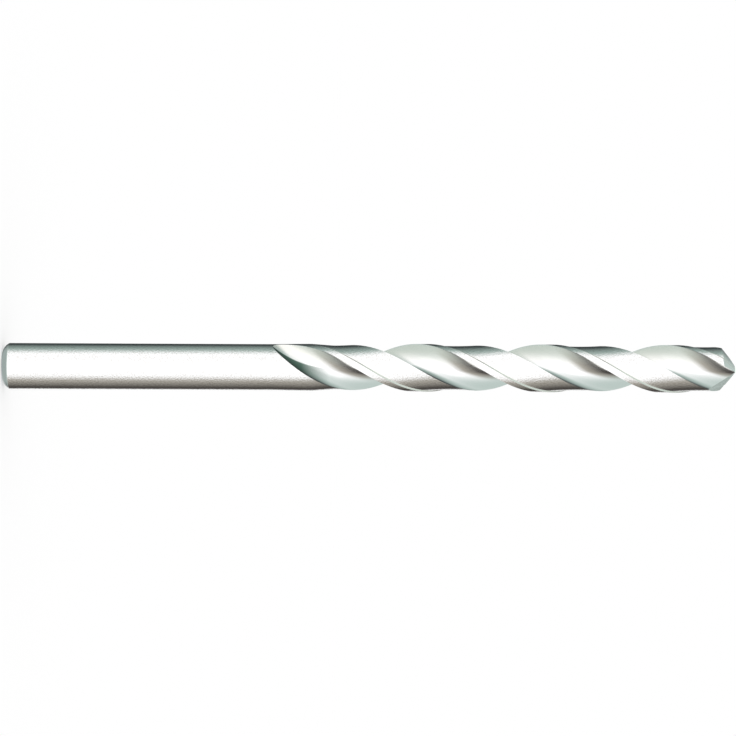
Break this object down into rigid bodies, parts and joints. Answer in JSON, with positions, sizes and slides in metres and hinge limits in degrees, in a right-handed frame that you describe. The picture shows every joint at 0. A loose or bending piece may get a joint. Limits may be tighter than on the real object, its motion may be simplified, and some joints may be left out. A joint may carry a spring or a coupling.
{
  "type": "twist drill bit",
  "caption": "Straight-shank twist drill bit with right-hand helical flutes, ground margins and a conical ground point, standing on its shank end.",
  "frame": {"origin": "centre of the flat shank end, which the drill stands on", "axes": "+Z along the drill's axis from the shank end to the point; the two cutting lips lie parallel to Y"},
  "size_m": [0.007, 0.0072, 0.109],
  "materials": {
    "ground_steel": "bright ground high-speed steel"
  },
  "bodies": {
    "root": {"drill_bit": "ground_steel"}
  },
  "joints": []
}
